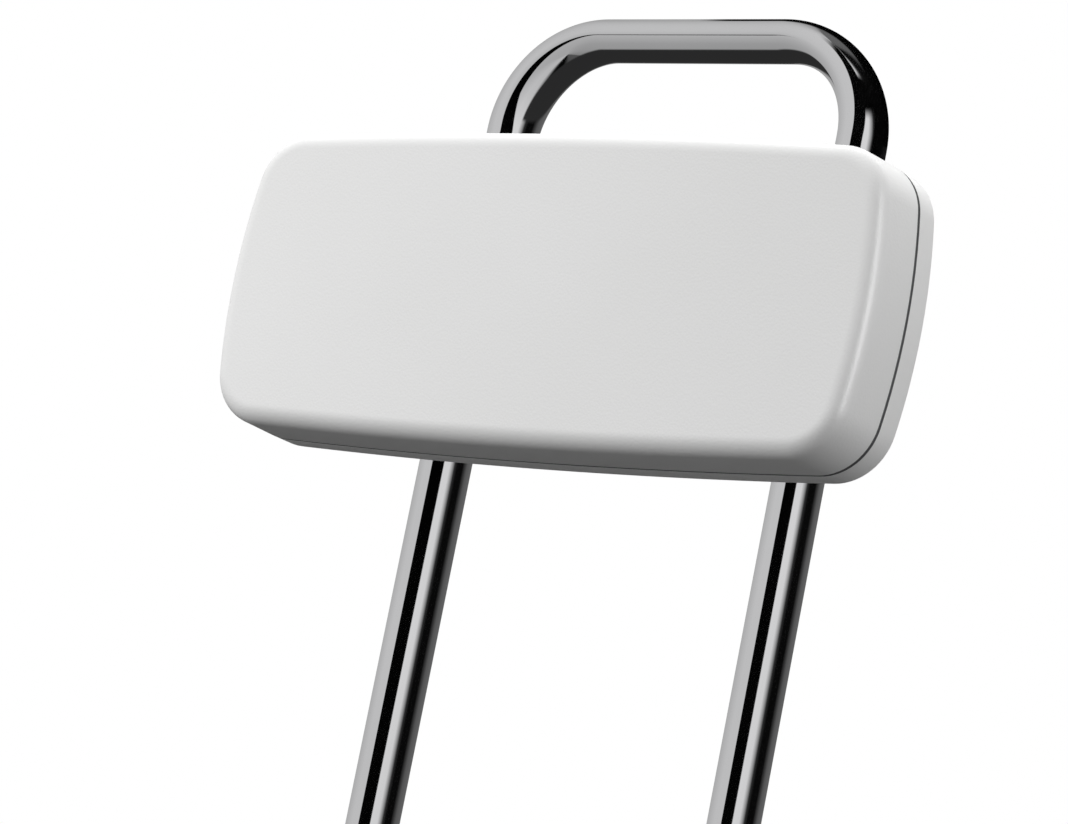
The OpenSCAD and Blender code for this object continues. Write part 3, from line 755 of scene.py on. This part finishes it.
wall_ring = world_ramp(around, [
    (turn_stop(-180), 0.13), (turn_stop(-148), 0.14), (turn_stop(-143), 0.38), (turn_stop(-115), 0.50),
    (turn_stop(-30), 0.64), (turn_stop(60), 0.64), (turn_stop(88), 0.80), (turn_stop(104), 0.78),
    (turn_stop(112), 0.36), (turn_stop(118), 0.03), (turn_stop(126), 0.003), (turn_stop(146), 0.003),
    (turn_stop(156), 0.05), (turn_stop(166), 0.11), (turn_stop(180), 0.13)])
wall_rise = world_ramp(height, [(0.0, 0.72), (rise_stop(-30), 0.80), (rise_stop(-8), 0.90),
                                (rise_stop(8), 1.0), (1.0, 1.05)])


def world_mix(blend, factor, first, second):
    node = add_node(tree, "ShaderNodeMix", data_type="RGBA", blend_type=blend)
    # Sockets 6 and 7 are the two that take colours.
    for socket, value in zip((node.inputs[0], node.inputs[6], node.inputs[7]), (factor, first, second)):
        if isinstance(value, (int, float)):
            socket.default_value = value
        elif isinstance(value, tuple):
            socket.default_value = (*value, 1)
        else:
            tree.links.new(value, socket)
    return node.outputs[2]


def world_step(value, start, end):
    node = add_node(tree, "ShaderNodeMapRange", interpolation_type="SMOOTHSTEP")
    node.inputs["From Min"].default_value = start
    node.inputs["From Max"].default_value = end
    tree.links.new(value, node.inputs["Value"])
    return node.outputs["Result"]


mirror_room = world_mix("MULTIPLY", 1.0, wall_ring, wall_rise)
behind_low = world_math("MULTIPLY", world_step(y, 0.24, 0.32), world_step(z, 0.05, -0.05))
mirror_room = world_mix("MIX", behind_low, mirror_room, (0.027, 0.027, 0.027))
behind_high = world_math("MULTIPLY", world_step(y, 0.44, 0.52), world_step(z, 0.21, 0.27))
behind_high = world_math("MULTIPLY", behind_high, world_step(x, -0.552, -0.545))
right_high = world_math("MULTIPLY", world_step(x, 0.42, 0.52), world_step(z, 0.46, 0.60))
flag_high = world_math("MAXIMUM", behind_high, right_high)
# The wedge is a slanted band of directions that widens to the right.
slant_x, slant_y, slant_z, slant_offset = -0.037, 0.9126, -0.4073, 0.595
wedge_half_width, wedge_spread, wedge_blur = 0.183, 0.285, 0.012
across = world_math("MULTIPLY_ADD", z, slant_z, slant_offset)
across = world_math("MULTIPLY_ADD", y, slant_y, across)
off_middle = world_math("ABSOLUTE", world_math("MULTIPLY_ADD", x, slant_x, across))
wedge_width = world_math("MULTIPLY_ADD", x, wedge_spread, wedge_half_width)
wedge = world_step(world_math("SUBTRACT", wedge_width, off_middle), -wedge_blur, wedge_blur)
wedge_end = world_math("MAXIMUM", world_step(z, 0.55, 0.45), world_step(x, -0.2, 0.1))
wedge = world_math("MULTIPLY", wedge, wedge_end)
flags = world_math("MAXIMUM", flag_high, wedge)
mirror_room = world_mix("MIX", flags, mirror_room, (0.0008, 0.0008, 0.0008))
soft_room = world_ramp(height, [(0.0, 0.105), (rise_stop(-20), 0.13), (rise_stop(10), 0.60),
                                (rise_stop(50), 1.20), (1.0, 1.30)])
rays = add_node(tree, "ShaderNodeLightPath")
by_gloss = world_mix("MIX", rays.outputs["Is Glossy Ray"], soft_room, mirror_room)
by_camera = world_mix("MIX", rays.outputs["Is Camera Ray"], by_gloss, (1.0, 1.0, 1.0))
background = add_node(tree, "ShaderNodeBackground")
tree.links.new(by_camera, background.inputs["Color"])
output = add_node(tree, "ShaderNodeOutputWorld")
tree.links.new(background.outputs[0], output.inputs["Surface"])
bpy.context.scene.view_settings.view_transform = "Standard"
print("world ready")

# %% [markdown]
# ## The key light and the floor
# One large soft light at the front left lifts the face of the housing, one above it whitens its
# top, and a weaker one comes from its right. A strip light draws the pale line along the right
# edge. Light linking keeps it on the shells, so that the tubes don't mirror it, and keeps the top
# light off the base plate, which it would wash out. The pieces are kept out of mirror rays, which
# keeps the bands along the tubes clean. The floor is a plain pale sheet. It only shows itself, so
# that its bounce doesn't fill the dark underside.

# %% Key light and floor
def soft_light(name, place, target, size, power):
    clear_selection()
    bpy.ops.object.light_add(type="AREA", location=place)
    lamp = bpy.context.object
    lamp.name = name
    lamp.data.size = size
    lamp.data.energy = power
    lamp.rotation_euler = (Vector(target) - Vector(place)).to_track_quat("-Z", "Y").to_euler()
    lamp.visible_glossy = False
    return lamp


soft_light("key_light", (-1.7, -1.9, 1.8), housing_middle, 1.6, 35)
top = soft_light("top_light", (-0.3, 0.9, 3.2), housing_middle, 1.6, 60)
soft_light("side_light", (2.6, 0.6, 1.5), housing_middle, 1.6, 12)
strip = soft_light("strip_light", (2.58, -0.96, middle_z + 0.46), (half_w, front_y, middle_z), 1.1, 60)
strip.data.shape = "RECTANGLE"
strip.data.size_y = 1.6
strip.visible_glossy = True
strip.visible_diffuse = False
housing_pieces = bpy.data.collections.new("housing_pieces")
housing_pieces.objects.link(front_shell)
housing_pieces.objects.link(rear_shell)
strip.light_linking.receiver_collection = housing_pieces
lit_from_above = bpy.data.collections.new("lit_from_above")
for piece in bpy.context.scene.objects:
    on_housing = piece.name.endswith("_softened") and piece.name != "base_plate_softened"
    if piece in (front_shell, rear_shell) or on_housing:
        lit_from_above.objects.link(piece)
top.light_linking.receiver_collection = lit_from_above
for piece in bpy.context.scene.objects:
    if piece.type == "MESH":
        piece.visible_glossy = False
clear_selection()
bpy.ops.mesh.primitive_plane_add(size=30, location=(0, 0, 0))
floor = bpy.context.object
floor.name = "studio_floor"
floor.data.materials.append(coated("studio_floor_sheet", (0.55, 0.55, 0.55), 0.8, 90.0, 0.05, 0.01))
floor.visible_diffuse = False
floor.visible_glossy = False
print("floor and key light ready")

# %% Finish
bpy.context.view_layer.update()
